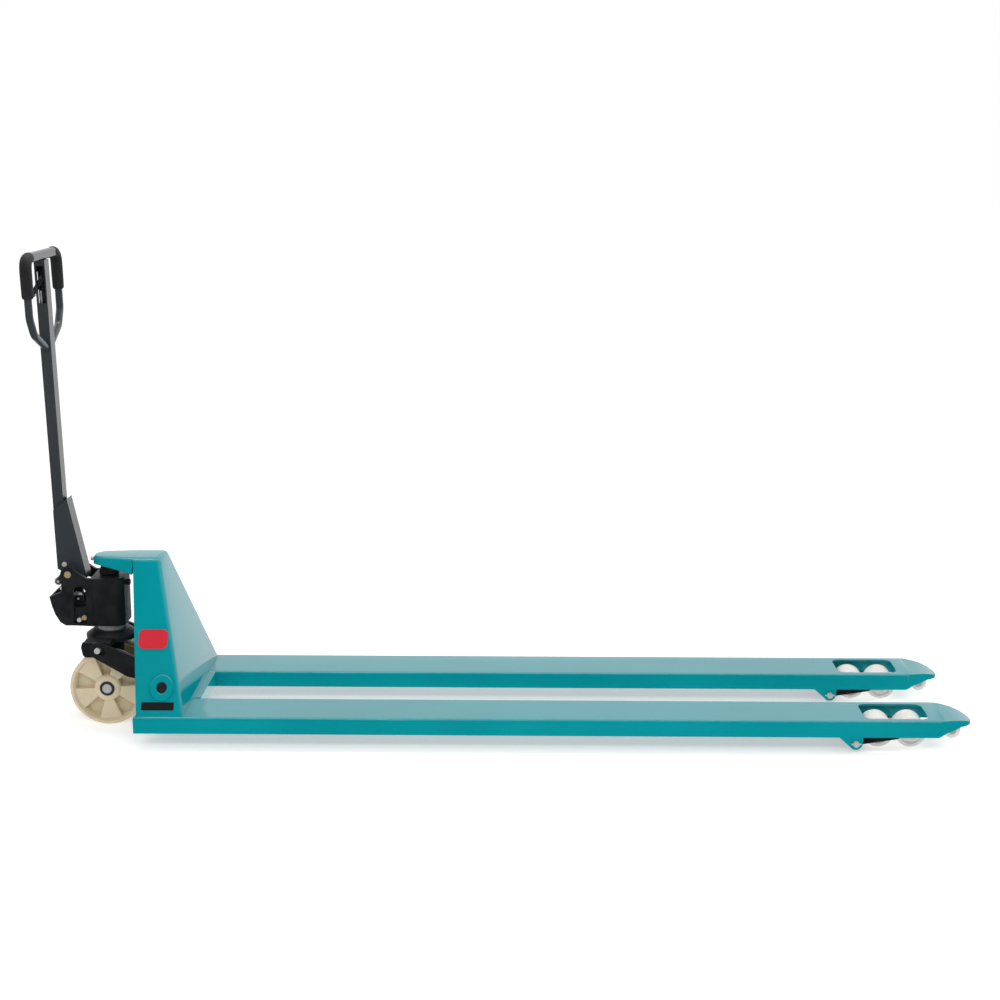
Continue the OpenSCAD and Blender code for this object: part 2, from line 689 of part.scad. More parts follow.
// Windows in both cheeks, with the valve block between them
module valve_window() {
    both_sides() {
        block([-194, cheek_y, 272], [-160, cheek_y + cheek_t + cut, 356]);
        rod_y(-177, 356, 17, cheek_y, cheek_y + cheek_t + cut);
    }
}
module valve_block() color(casting) truck() difference() {
    foot = plunger_floor + 8;
    union() {
        block([-200, -26, plunger_floor], [tank_x0 - 4, 26, foot]);
        both_sides() block([-200, 12, foot], [-176, 20, valve_h + 8]);
    }
    rod_y(valve_x, valve_h, 3 + running, -27, 27);
}
module valve_plug() color([0.72, 0.55, 0.2]) truck() both_sides()
    rod_y(-168, 286, 7, cheek_y, cheek_y + 6);
module valve_screw() color(zinc) truck() both_sides() rod_y(-182, 280, 6, cheek_y, cheek_y + 7);
module filler_cap() color(casting) truck() translate([tank_x1 + 9, 0, 372]) rotate([0, -90, 0])
    union() { cylinder(r = 8, h = 9); cylinder(r = 6, h = 20); }

// Little lever that opens the lowering valve
module valve_lever() color(zinc) truck() {
    rod_y(valve_x, valve_h, 3, -22, 22);
    link_bar([valve_x, valve_h], 7, [valve_x - 12, valve_h + 7], 5, -11.5, 11.5);
}

module plunger() color("silver") truck() translate([plunger_x, 0, 0]) {
    translate([0, 0, plunger_floor - 12])
        cylinder(r = plunger_r, h = plunger_top - plunger_floor + 12);
    translate([0, 0, plunger_top - 5]) cylinder(r = plunger_head_r, h = 5);
}
module plunger_spring() color(zinc) truck() translate([plunger_x, 0, plunger_floor])
    difference() {
        cylinder(r = 14, h = plunger_top - 5 - plunger_floor);
        translate([0, 0, -cut]) cylinder(r = 11, h = plunger_top - plunger_floor);
    }

// ---- Steering wheels ----
module steer_axle() color("silver") truck() {
    rod_y(steer_x, wheel_r, axle_r, -wheel_y - wheel_w / 2 - 2, wheel_y + wheel_w / 2 + 2);
}
// The web steps in and out between hub and rim, with pockets from both faces
pocket_count = 5;
pocket_angle = 31;
web_t = 7;
module steer_wheel(side) color(tan_nylon) truck() translate([steer_x, side * wheel_y, wheel_r])
    rotate([90, 0, 0]) difference() {
        half = wheel_w / 2;
        rim = wheel_r - 11;
        hub = 33;
        face = half - 7;
        depth = 2 * face - web_t;
        rotate_extrude() polygon([
            [bearing_r, -half], [hub, -half], [hub, -face], [rim, -face], [rim, -half],
            [wheel_r - 4, -half], [wheel_r, 4 - half], [wheel_r, half - 4], [wheel_r - 4, half],
            [rim, half], [rim, face], [hub, face], [hub, half], [bearing_r, half]]);
        for (i = [0:pocket_count - 1], back = [0, 1])
            rotate([0, 0, (i + back / 2) * 360 / pocket_count + 94 - pocket_angle / 2])
                rotate_extrude(angle = pocket_angle) translate([hub + 3, back == 1 ? -half : half - 7 - depth])
                    square([rim - hub - 6, 7 + depth]);
    }
module left_steer_wheel() steer_wheel(1);
module right_steer_wheel() steer_wheel(-1);
module wheel_bearing(side) color([0.15, 0.15, 0.15]) truck()
    translate([steer_x, side * wheel_y, wheel_r]) rotate([90, 0, 0]) difference() {
        translate([0, 0, -wheel_w / 2]) cylinder(r = bearing_r, h = wheel_w);
        translate([0, 0, -wheel_w]) cylinder(r = axle_r + running, h = 2 * wheel_w);
    }
module left_wheel_bearing() wheel_bearing(1);
module right_wheel_bearing() wheel_bearing(-1);

// ---- Tiller ----
module tiller_pivot_pin() color([0.7, 0.6, 0.45]) truck() rod_y(tiller_x, tiller_pivot_h,
    tiller_pin_d / 2, -cheek_y - cheek_t - 3, cheek_y + cheek_t + 3);

module tiller_bracket() color(tiller_grey) truck() in_tiller() difference() {
    union() {
        plate_xz(-bracket_half, bracket_half) polygon([
            [tube_x - tube_d / 2, 168], [4, 198], [42.5, -17], [20, -14], [0, -17],
            [-17, -2], [tube_x - tube_d / 2, 8]]);
        rod_y(0, 0, 17, 0.5 - cheek_y, cheek_y - 0.5);
        for (s = [-1, 1]) link_bar([0, 0], 17, [press_x, press_z], 7,
            s > 0 ? bracket_half - bracket_t : -bracket_half,
            s > 0 ? bracket_half : bracket_t - bracket_half);
    }
    // Hollow of the channel, open towards the operator
    difference() {
        plate_xz(bracket_t - bracket_half, bracket_half - bracket_t) polygon([
            [tube_x - tube_d / 2 - cut, 220], [-4, 220], [36.5, -20], [-50, -50],
            [-60, 0]]);
        rod_y(0, 0, 13.5, -bracket_half, bracket_half);
    }
    rod_y(0, 0, tiller_pin_d / 2 + running, -cheek_y, cheek_y);
    rod_y(bolt_x, bolt_z, bolt_r + running, -bracket_half - cut, bracket_half + cut);
    rod_y(press_x, press_z, 4 + running, -bracket_half - cut, bracket_half + cut);
}
bolt_x = -14.5;
bolt_z = 21;
bolt_r = 3.5;
module bracket_bolt() color(zinc) truck() in_tiller() {
    rod_y(bolt_x, bolt_z, bolt_r, -bracket_half - 5, bracket_half + 5);
    for (s = [-1, 1]) rod_y(bolt_x, bolt_z, 6.5, s > 0 ? bracket_half : -bracket_half - 5,
        s > 0 ? bracket_half + 5 : -bracket_half);
}
module press_roller() color(zinc) truck() in_tiller() {
    inside = bracket_half - bracket_t - side_play;
    rod_y(press_x, press_z, press_r, -inside, inside);
    rod_y(press_x, press_z, 4, -bracket_half, bracket_half);
}

module tiller_tube() color(tiller_grey) truck() in_tiller() difference() {
    x0 = tube_x - tube_d / 2;
    x1 = tube_x + tube_d / 2;
    block([x0, -tube_w / 2, tube_bottom], [x1, tube_w / 2, tiller_len - 12]);
    block([x0 + tube_wall, tube_wall - tube_w / 2, tube_bottom - cut],
        [x1 - tube_wall, tube_w / 2 - tube_wall, tiller_len - 12 - tube_wall]);
    // Openings for the release lever
    block([x0 + tube_wall, -tube_w, slot_z0], [x1 - tube_wall, 0, slot_z1]);
    block([x0 - cut, -7, slot_z0], [x0 + 2 * tube_wall, 7, lever_z + 14]);
    rod_y(lever_x, lever_z, lever_pin_r + running, -tube_w, tube_w);
}

// Handle loop: crossbar, sides and lower legs that meet the tube
corner = 30;
leg_z = tiller_len - 150;
knee_y = handle_half - 29;
knee_z = tiller_len - 194;
module handle_loop() color(tiller_grey) truck() in_tiller() difference() {
    both_sides() {
        bar_end = handle_half - corner;
        plate_xz(0, bar_end) translate([tube_x, tiller_len]) polygon([
            [-8, -12], [8, -12], [12, -8], [12, 8], [8, 12], [-8, 12], [-12, 8], [-12, -8]]);
        translate([tube_x, bar_end, tiller_len - corner]) rotate([0, 90, 0])
            rotate_extrude(angle = 90, start = 90) translate([corner, 0]) circle(r = handle_r);
        leg([handle_half, tiller_len - corner], [handle_half, leg_z]);
        leg([handle_half, leg_z], [knee_y, knee_z]);
        leg([knee_y, knee_z], [8, handle_low_z]);
        for (q = [[handle_half, leg_z], [knee_y, knee_z]])
            translate([tube_x, q[0], q[1]]) sphere(r = handle_r + 0.2);
    }
    block([tube_x - tube_d / 2, -tube_w / 2, 0], [tube_x + tube_d / 2, tube_w / 2, tiller_len - 12]);
}
module leg(a, b) rod_between([tube_x, a[0], a[1]], [tube_x, b[0], b[1]], handle_r);
grip_low = tiller_len - 100;
module grip_ring() difference() {
    circle(r = grip_d / 2);
    circle(r = handle_r);
}
module grips() color(rubber) truck() in_tiller() both_sides() {
    translate([tube_x, handle_half, grip_low]) linear_extrude(tiller_len - corner - grip_low) grip_ring();
    translate([tube_x, handle_half - corner, tiller_len - corner])
        rotate([0, 90, 0]) rotate_extrude(angle = 90, start = 90) translate([corner, 0]) grip_ring();
}

module release_lever() color(casting) truck() in_tiller() {
    rod_y(lever_x, lever_z, lever_pin_r, -tube_w / 2, tube_w / 2);
    link_bar([lever_x, lever_z], lever_hub_r, lever_bar, lever_bar_r, -5.5, 5.5);
    rod_y(lever_bar[0], lever_bar[1], lever_bar_r, -20, 20);
}
// Distance from the lever's pin down to the rod's top
rod_top_drop = 35;
module release_rod() color(zinc) truck() in_tiller() {
    x = lever_x - rod_arm;
    low = tube_bottom + 8;
    translate([x, 0, low]) cylinder(r = 2.5, h = lever_z - rod_top_drop - low);
}

left_fork();
right_fork();
front_plate();
left_side_plate();
right_side_plate();
shaft_bosses();
top_arm();
cross_plate();
rating_labels();
side_badges();
rocker_shaft();
rocker_tube();
lift_arms();
crank_arms();
left_push_rod();
right_push_rod();
yoke_pivot_pins();
pivot_roll_pins();
left_yoke();
right_yoke();
left_bogie_plates();
right_bogie_plates();
left_bogie_pins();
right_bogie_pins();
left_rear_roller();
left_front_roller();
right_rear_roller();
right_front_roller();
tip_roller_mounts();
left_tip_roller();
right_tip_roller();
ram_rod();
ram_head();
arm_screw();
thrust_base();
link_pins();
thrust_bearing();
pump_base();
pump_housing();
valve_block();
valve_plug();
valve_screw();
filler_cap();
valve_lever();
plunger();
plunger_spring();
steer_axle();
left_steer_wheel();
right_steer_wheel();
left_wheel_bearing();
right_wheel_bearing();
tiller_pivot_pin();
tiller_bracket();
bracket_bolt();
press_roller();
tiller_tube();
handle_loop();
grips();
release_lever();
release_rod();
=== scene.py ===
"""Looks of a hand pallet truck with long forks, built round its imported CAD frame."""

import json
from math import atan2, cos, degrees, pi, radians, sin

import bmesh
import bpy
from bpy.props import FloatProperty, FloatVectorProperty, IntProperty, PointerProperty
from mathutils import Matrix, Vector


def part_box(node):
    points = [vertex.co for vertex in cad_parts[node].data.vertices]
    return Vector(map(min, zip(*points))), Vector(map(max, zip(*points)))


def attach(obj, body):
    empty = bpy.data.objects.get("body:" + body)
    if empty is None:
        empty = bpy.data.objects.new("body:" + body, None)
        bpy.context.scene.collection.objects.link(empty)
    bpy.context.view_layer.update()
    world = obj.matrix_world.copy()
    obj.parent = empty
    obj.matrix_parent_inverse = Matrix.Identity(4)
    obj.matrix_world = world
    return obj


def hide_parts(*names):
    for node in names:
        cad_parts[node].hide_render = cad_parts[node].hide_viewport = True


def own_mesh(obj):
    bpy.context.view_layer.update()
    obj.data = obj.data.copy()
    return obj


bl_info = {
    "name": "Hand Pallet Truck",
    "version": (1, 0, 0),
    "blender": (4, 5, 0),
    "location": "3D View > Sidebar > Pallet Truck",
    "description": "Builds the painted, cast, rubber and nylon pieces of a hand pallet truck",
    "category": "Object",
}

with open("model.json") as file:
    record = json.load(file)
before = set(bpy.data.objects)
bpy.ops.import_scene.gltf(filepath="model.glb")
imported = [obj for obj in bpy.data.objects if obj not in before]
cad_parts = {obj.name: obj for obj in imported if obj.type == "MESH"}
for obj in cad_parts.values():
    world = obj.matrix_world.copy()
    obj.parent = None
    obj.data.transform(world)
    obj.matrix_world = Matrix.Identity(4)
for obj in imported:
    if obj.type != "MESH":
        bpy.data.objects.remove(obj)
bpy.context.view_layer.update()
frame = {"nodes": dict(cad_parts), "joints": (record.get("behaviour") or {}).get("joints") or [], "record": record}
JOINTS = {j["name"]: j for j in frame["joints"]}
SLOT_OF = {s["node"]: s["material_slot"] for s in frame["record"]["subparts"]}
BODY_OF = {n: b for b, ns in frame["record"]["behaviour"]["bodies"].items() for n in ns}
MM = 0.001
FILL = 0.52  # strength of the backdrop as fill light
TUBE_X = -20.5  # middle of the tiller's tube in its own frame, in millimetres
FRONT_FOOT = 0.128  # from the forks' heel to the sheet's front fold, at the forks
FRONT_TOP = 0.042  # the same at the top of the side plates
REAR_FOOT = 0.007  # from the forks' heel to the sheet's rear edge
SHEET_WALL = 0.006
SHEET_BEND = 0.011  # rounding of the bent sheet's and the arm's folds
BEND_STEPS = 8


# ---- Shader graphs ----
class Wire:
    """An output socket that takes part in Python arithmetic."""

    def __init__(self, graph, socket):
        self.graph, self.socket = graph, socket

    def _math(self, operation, *values, **more):
        return self.graph.add("ShaderNodeMath", {"operation": operation, **more}, *values)

    def __add__(self, other):
        return self._math("ADD", self, other)

    def __radd__(self, other):
        return self._math("ADD", other, self)

    def __sub__(self, other):
        return self._math("SUBTRACT", self, other)

    def __rsub__(self, other):
        return self._math("SUBTRACT", other, self)

    def __mul__(self, other):
        return self._math("MULTIPLY", self, other)

    def __rmul__(self, other):
        return self._math("MULTIPLY", other, self)

    def __truediv__(self, other):
        return self._math("DIVIDE", self, other)

    def __pow__(self, other):
        return self._math("POWER", self, other)

    def clamped(self):
        return self._math("ADD", self, 0.0, use_clamp=True)

    def above(self, low, high):
        """0 below low, 1 above high, smooth between."""
        return self.graph.add(
            "ShaderNodeMapRange", {"interpolation_type": "SMOOTHSTEP"}, self, low, high, 0.0, 1.0)


class Graph:
    """A node tree that is written as expressions."""

    def __init__(self, tree):
        self.nodes, self.links = tree.nodes, tree.links

    def put(self, socket, value):
        if isinstance(value, Wire):
            self.links.new(value.socket, socket)
        elif value is not None:
            socket.default_value = value

    def add(self, kind, settings, *values, out=0, **named):
        node = self.nodes.new(kind)
        for key, value in settings.items():
            setattr(node, key, value)
        for socket, value in zip(node.inputs, values):
            self.put(socket, value)
        for name, value in named.items():
            self.put(node.inputs[name.replace("_", " ")], value)
        return Wire(self, node.outputs[out])

    def place(self, scale=(1.0, 1.0, 1.0)):
        """Object coordinates, stretched."""
        coords = self.add("ShaderNodeTexCoord", {}, out=3)
        return self.add("ShaderNodeMapping", {"vector_type": "POINT"}, Vector=coords, Scale=scale)

    def noise(self, scale, detail=2.0, stretch=(1.0, 1.0, 1.0), rough=0.5):
        return self.add("ShaderNodeTexNoise", {}, Vector=self.place(stretch), Scale=scale,
                        Detail=detail, Roughness=rough)

    def cells(self, scale, stretch=(1.0, 1.0, 1.0)):
        return self.add("ShaderNodeTexVoronoi", {"feature": "F1"}, Vector=self.place(stretch), Scale=scale)

    def blend(self, mask, a, b):
        node = self.nodes.new("ShaderNodeMix")
        node.data_type = "RGBA"
        self.put(node.inputs["Factor"], mask)
        self.put(node.inputs[6], a)
        self.put(node.inputs[7], b)
        return Wire(self, node.outputs[2])


class Finish(Graph):
    """A material's node tree, ending in one Principled shader."""

    def __init__(self, name, **constants):
        self.material = bpy.data.materials.new(name)
        self.material.use_nodes = True
        super().__init__(self.material.node_tree)
        self.shader = self.nodes["Principled BSDF"]
        for socket, value in constants.items():
            self.shader.inputs[socket.replace("_", " ")].default_value = value

    def finish(self, color=None, rough=None, bump=None, strength=0.2, distance=0.0005, **more):
        self.put(self.shader.inputs["Base Color"], color)
        self.put(self.shader.inputs["Roughness"], rough)
        for socket, value in more.items():
            self.put(self.shader.inputs[socket.replace("_", " ")], value)
        if bump is not None:
            normal = self.add("ShaderNodeBump", {}, Strength=strength, Distance=distance, Height=bump)
            self.put(self.shader.inputs["Normal"], normal)
        return self.material


def rgba(color, factor=1.0):
    return (*[min(1.0, c * factor) for c in color[:3]], 1.0)


def powder_coat(name, color, rough, grain, peel=0.02):
    g = Finish(name, Coat_Weight=0.2, Coat_Roughness=0.04, IOR=1.48)
    cloud = g.noise(3.0, 3.0)
    tint = g.blend(cloud.above(0.3, 0.7), rgba(color, 0.94), rgba(color, 1.05))
    return g.finish(tint, rough + 0.06 * cloud, g.noise(grain, 2.0), peel, 0.0002)


def cast_metal(name, color):
    g = Finish(name, IOR=1.5)
    sand = g.noise(900.0, 3.0, rough=0.65)
    cloud = g.noise(30.0, 4.0)
    tint = g.blend(cloud.above(0.35, 0.7), rgba(color, 0.8), rgba(color, 1.35))
    return g.finish(tint, 0.36 + 0.22 * cloud, sand + 0.6 * g.cells(700.0), 0.35, 0.0006)


def black_steel(name, color):
    g = Finish(name, IOR=1.5)
    cloud = g.noise(45.0, 3.0)
    tint = g.blend(cloud.above(0.4, 0.7), rgba(color), rgba(color, 1.5))
    return g.finish(tint, 0.34 + 0.2 * cloud, g.noise(1300.0), 0.15, 0.0003)


def bright_metal(name, color, rough, streak):
    g = Finish(name, Metallic=0.35, Specular_IOR_Level=1.0)
    cloud = g.noise(60.0, 3.0)
    lines = g.noise(streak, 2.0, (1.0, 0.06, 1.0))
    tint = g.blend(cloud, rgba(color, 0.88), rgba(color, 1.08))
    return g.finish(tint, rough + 0.14 * cloud + 0.06 * lines, lines, 0.1, 0.0002)


def nylon(name, color, fleck):
    g = Finish(name, Subsurface_Weight=0.25, Subsurface_Scale=0.012, IOR=1.53)
    cloud = g.noise(22.0, 4.0)
    specks = g.cells(260.0).above(0.0, 0.22)
    tint = g.blend(cloud.above(0.3, 0.75), rgba(color), rgba(color, 1.1))
    tint = g.blend(fleck * (1.0 - specks), tint, rgba(color, 0.7))
    return g.finish(tint, 0.38 + 0.18 * cloud, g.noise(800.0), 0.12, 0.0003)


def rubber(name, color):
    g = Finish(name, IOR=1.5, Specular_IOR_Level=0.3)
    grain = g.cells(900.0)
    cloud = g.noise(40.0)
    tint = g.blend(cloud, rgba(color), rgba(color, 1.6))
    return g.finish(tint, 0.5 + 0.2 * cloud, grain, 0.3, 0.0004)


def film(name, color):
    g = Finish(name, Coat_Weight=0.5, Coat_Roughness=0.08)
    cloud = g.noise(120.0)
    return g.finish(g.blend(cloud, rgba(color, 0.95), rgba(color, 1.05)), 0.25 + 0.1 * cloud)


def make_finishes(look):
    return {
        "frame_paint": powder_coat("frame_paint", look.frame_color, 0.06, 160.0),
        "tiller_paint": powder_coat("tiller_paint", look.tiller_color, 0.24, 900.0, 0.08),
        "black_casting": cast_metal("black_casting", look.casting_color),
        "black_steel": black_steel("black_steel", look.steel_color),
        "zinc": bright_metal("zinc", look.zinc_color, 0.22, 900.0),
        "chrome": bright_metal("chrome", (0.8, 0.8, 0.82), 0.05, 1500.0),
        "bronze": bright_metal("bronze", look.bronze_color, 0.26, 700.0),
        "white_nylon": nylon("white_nylon", look.roller_color, 0.15),
        "tan_nylon": nylon("tan_nylon", look.wheel_color, 0.5),
        "black_rubber": rubber("black_rubber", (0.014, 0.014, 0.015)),
        "black_seal": rubber("black_seal", (0.03, 0.03, 0.03)),
        "black_plastic": black_steel("black_plastic", (0.03, 0.03, 0.032)),
        "black_label": film("black_label", (0.012, 0.012, 0.012)),
        "red_badge": film("red_badge", look.badge_color),
    }


FINISHES = {}


# ---- Mesh helpers ----
def link_piece(name, mesh, body, slot, nodes=()):
    """Puts a finished mesh in the scene on its body, with its material."""
    piece = bpy.data.objects.new(name, mesh)
    bpy.context.scene.collection.objects.link(piece)
    mesh.materials.clear()
    mesh.materials.append(FINISHES[slot])
    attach(piece, body)
    if nodes:
        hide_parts(*nodes)
    return piece


def to_mesh(name, bm, smooth_angle=35.0):
    mesh = bpy.data.meshes.new(name)
    bm.to_mesh(mesh)
    bm.free()
    mesh.polygons.foreach_set("use_smooth", [True] * len(mesh.polygons))
    mesh.set_sharp_from_angle(angle=radians(smooth_angle))
    return mesh


def cad_copy(node):
    """A CAD node's shape as a clean bmesh with joined faces."""
    bm = bmesh.new()
    bm.from_mesh(frame["nodes"][node].data)
    bmesh.ops.remove_doubles(bm, verts=bm.verts, dist=2e-6)
    bmesh.ops.dissolve_limit(
        bm, angle_limit=radians(0.6), use_dissolve_boundaries=False, verts=bm.verts, edges=bm.edges)
    return bm


def cad_piece(node, mesh, slot=None):
    """A mesh that stands for a CAD node, on that node's body."""
    return link_piece(node + "_piece", mesh, BODY_OF[node], slot or SLOT_OF[node], (node,))


def rounded(piece, width, angle=50.0, segments=2):
    """Rounds the edges of a piece that are sharper than an angle."""
    edge = piece.modifiers.new("edge", "BEVEL")
    edge.width = width
    edge.segments = segments
    edge.limit_method = "ANGLE"
    edge.angle_limit = radians(angle)
    edge.harden_normals = True


def softened(node, width, angle=32.0, segments=3, slot=None):
    """Stands for a CAD node: the same shape with rounded edges."""
    rounded(cad_piece(node, to_mesh(node, cad_copy(node)), slot), width, angle, segments)


def sheet(piece, thickness, edge):
    """Gives an open surface its wall, inwards, and rounds the wall's edges."""
    wall = piece.modifiers.new("wall", "SOLIDIFY")
    wall.thickness = thickness
    wall.offset = -1.0
    wall.use_even_offset = True
    rounded(piece, edge)


def bevelled(bm, edges, offset, segments):
    """Rounds some edges of a bmesh."""
    bmesh.ops.bevel(bm, geom=edges, offset=offset, segments=segments, profile=0.5, affect="EDGES",
                    material=-1)


def fillet(corners, radii, steps=8):
    """A path through corners, each rounded by its radius."""
    path = [Vector(corners[0])]
    for i in range(1, len(corners) - 1):
        p, q, r = (Vector(corners[j]) for j in (i - 1, i, i + 1))
        a, b = (p - q).normalized(), (r - q).normalized()
        half = a.angle(b) / 2
        reach = radii[i - 1] / max(1e-6, abs(sin(half) / cos(half)))
        start, end = q + a * reach, q + b * reach
        for k in range(steps + 1):
            t = k / steps
            path.append(start.lerp(q, t).lerp(q.lerp(end, t), t))
    path.append(Vector(corners[-1]))
    return path


def tube_bmesh(path, radii, sides=20, flat=1.0, closed=False):
    """A round bar along a path, with a radius at each point."""
    curve = bpy.data.curves.new("path", "CURVE")
    curve.dimensions = "3D"
    spline = curve.splines.new("POLY")
    spline.points.add(len(path) - 1)
    for point, place, radius in zip(spline.points, path, radii):
        point.co = (*place, 1.0)
        point.radius = radius
    spline.use_cyclic_u = closed
    curve.bevel_depth = 1.0
    curve.bevel_resolution = sides // 4 - 1
    curve.use_fill_caps = not closed
    holder = bpy.data.objects.new("path", curve)
    bpy.context.scene.collection.objects.link(holder)
    bpy.context.view_layer.update()
    mesh = bpy.data.meshes.new_from_object(holder.evaluated_get(bpy.context.evaluated_depsgraph_get()))
    bpy.data.objects.remove(holder)
    bm = bmesh.new()
    bm.from_mesh(mesh)
    bpy.data.meshes.remove(mesh)
    bmesh.ops.remove_doubles(bm, verts=bm.verts, dist=1e-6)
    bmesh.ops.recalc_face_normals(bm, faces=bm.faces)
    return bm


def joined(parts):
    """One bmesh from several."""
    whole = bmesh.new()
    for bm in parts:
        mesh = bpy.data.meshes.new("part")
        bm.to_mesh(mesh)
        bm.free()
        whole.from_mesh(mesh)
        bpy.data.meshes.remove(mesh)
    return whole


def mirrored(bm):
    """The bmesh and its mirror image across the truck's middle plane."""
    twin = bm.copy()
    bmesh.ops.scale(twin, vec=(1, -1, 1), verts=twin.verts)
    bmesh.ops.reverse_faces(twin, faces=twin.faces)
    return joined([bm, twin])


def tiller_place():
    """From the tiller's own frame, in millimetres, to the truck's."""
    pivot = Vector(JOINTS["tiller_pull"]["pos_m"])
    rod = Vector(JOINTS["release_rod_slide"]["axis"])
    lean = Vector((0, 0, 1)).rotation_difference(rod).to_matrix().to_4x4()
    return Matrix.Translation(pivot) @ lean @ Matrix.Scale(MM, 4)


# ---- Settings ----
def color_setting(name, description, default):
    return FloatVectorProperty(name=name, description=description, subtype="COLOR",
                               size=3, min=0.0, max=1.0, default=default)


class PALLETTRUCK_PG_look(bpy.types.PropertyGroup):
    frame_color: color_setting("Frame", "Paint of the forks and the frame", (0.0, 0.27, 0.31))
    tiller_color: color_setting("Tiller", "Paint of the tiller", (0.036, 0.041, 0.046))
    casting_color: color_setting("Castings", "Paint of the pump and its base", (0.012, 0.013, 0.015))
    steel_color: color_setting("Linkage", "Paint of the arms, rods and yokes", (0.012, 0.012, 0.014))
    zinc_color: color_setting("Zinc", "Plated pins and plates", (0.70, 0.70, 0.68))
    bronze_color: color_setting("Bronze", "Yellow pins and plugs", (0.52, 0.38, 0.2))
    roller_color: color_setting("Load rollers", "Nylon of the load rollers", (0.78, 0.78, 0.75))
    wheel_color: color_setting("Wheels", "Nylon of the steering wheels", (0.64, 0.55, 0.38))
    badge_color: color_setting("Badge", "Film of the side badges", (0.62, 0.015, 0.035))


class PALLETTRUCK_PG_sizes(bpy.types.PropertyGroup):
    plate_edge: FloatProperty(
        name="Plate edge", description="Rounding of the plates' edges",
        default=0.0016, min=0.0002, max=0.004, subtype="DISTANCE", unit="LENGTH")
    fold_radius: FloatProperty(
        name="Fold radius", description="Rounding of the forks' long folds",
        default=0.0055, min=0.001, max=0.008, subtype="DISTANCE", unit="LENGTH")
    casting_edge: FloatProperty(
        name="Casting edge", description="Rounding of the castings' edges",
        default=0.0022, min=0.0002, max=0.006, subtype="DISTANCE", unit="LENGTH")
    cut_edge: FloatProperty(
        name="Cut edge", description="Rounding of the forks' cut edges",
        default=0.0009, min=0.0001, max=0.003, subtype="DISTANCE", unit="LENGTH")
    wheel_edge: FloatProperty(
        name="Wheel edge", description="Rounding of the steering wheels' moulded edges",
        default=0.0014, min=0.0001, max=0.003, subtype="DISTANCE", unit="LENGTH")
    boss_edge: FloatProperty(
        name="Boss edge", description="Rounding of the shaft's pressed bosses",
        default=0.0036, min=0.0002, max=0.005, subtype="DISTANCE", unit="LENGTH")
    pocket_depth: FloatProperty(
        name="Pocket depth", description="Depth of the pockets in the wheels' webs",
        default=0.019, min=0.002, max=0.03, subtype="DISTANCE", unit="LENGTH")
    machined_edge: FloatProperty(
        name="Machined edge", description="Chamfer of pins and rollers",
        default=0.0007, min=0.0001, max=0.002, subtype="DISTANCE", unit="LENGTH")
    spring_turns: IntProperty(
        name="Spring turns", description="Turns of the plunger's spring", default=6, min=3, max=12)
    floor_size: FloatProperty(
        name="Floor", description="Width of the floor", default=60.0, min=10.0, max=200.0,
        subtype="DISTANCE", unit="LENGTH")


def look():
    return bpy.context.scene.pallet_truck_look


def sizes():
    return bpy.context.scene.pallet_truck_sizes


def studio_world():
    """White backdrop: an even fill, mirrored bright from above and behind."""
    world = bpy.data.worlds.new("studio")
    world.use_nodes = True
    g = Graph(world.node_tree)
    toward = g.add("ShaderNodeTexCoord", {}, out=0)
    height = g.add("ShaderNodeVectorMath", {"operation": "DOT_PRODUCT"}, toward, (0.0, 1.0, 0.8), out=1)
    mirrored_light = 0.03 + 0.97 * height.above(0.0, 0.6)
    glossy = g.add("ShaderNodeLightPath", {}, out=3)
    seen = g.add("ShaderNodeLightPath", {}, out=0)
    light = FILL * (1.0 - glossy) + mirrored_light * glossy
    back = g.nodes["Background"]
    back.inputs["Color"].default_value = (1, 1, 1, 1)
    g.put(back.inputs["Strength"], light * (1.0 - seen) + seen)
    return world


# ---- Operators ----
class PALLETTRUCK_OT_stage(bpy.types.Operator):
    """Floor, lights, background and camera"""

    bl_idname = "pallet_truck.stage"
    bl_label = "Stage"

    def execute(self, context):
        scene = context.scene
        scene.view_settings.view_transform = "Standard"
        bm = bmesh.new()
        bmesh.ops.create_grid(bm, x_segments=1, y_segments=1, size=sizes().floor_size / 2)
        mesh = bpy.data.meshes.new("floor")
        bm.to_mesh(mesh)
        bm.free()
        floor = bpy.data.objects.new("floor", mesh)
        scene.collection.objects.link(floor)
        g = Finish("floor", Specular_IOR_Level=0.0)
        # The floor glows by itself, painted light that whitens the far floor; the glow is dimmed towards the
        # middle of the stage, out to six metres, as painted shade that keeps the truck's shadows grey.
        g.shader.inputs["Emission Strength"].default_value = 0.62
        away = g.add("ShaderNodeVectorMath", {"operation": "LENGTH"}, g.place(), out=1)
        painted_floor_glow = g.blend(away.above(1.4, 6.0), (0.72, 0.72, 0.72, 1), (1, 1, 1, 1))
        mesh.materials.append(
            g.finish(g.blend(g.noise(2.0), (0.86, 0.86, 0.86, 1), (0.87, 0.87, 0.87, 1)), 0.9,
                     Emission_Color=painted_floor_glow))
        floor.visible_glossy = False

        scene.world = studio_world()
        for name, place, size, power in (
                ("front_strip", (-0.6, -3.0, 2.6), (4.0, 0.6), 42.0),
                ("top_strip", (0.0, 0.5, 3.2), (4.5, 0.8), 42.0),
                ("side_box", (3.6, -1.2, 2.0), (1.2, 1.2), 16.0)):
            lamp = bpy.data.lights.new(name, "AREA")
            lamp.energy = power
            lamp.shape = "RECTANGLE"
            lamp.size, lamp.size_y = size
            holder = bpy.data.objects.new(name, lamp)
            holder.visible_glossy = name == "top_strip"
            holder.location = place
            aim = Vector((0, 0, 0.2)) - holder.location
            holder.rotation_euler = aim.to_track_quat("-Z", "Y").to_euler()
            scene.collection.objects.link(holder)

        lens = bpy.data.cameras.new("camera")
        lens.lens = 60.98
        lens.sensor_width = 36.0
        camera = bpy.data.objects.new("camera", lens)
        camera.location = (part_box("left_fork")[0].x + 0.994, -4.375, 1.564)
        camera.rotation_euler = (radians(90 - 12.42), radians(-0.07), radians(0.75))
        scene.collection.objects.link(camera)
        scene.camera = camera
        return {"FINISHED"}


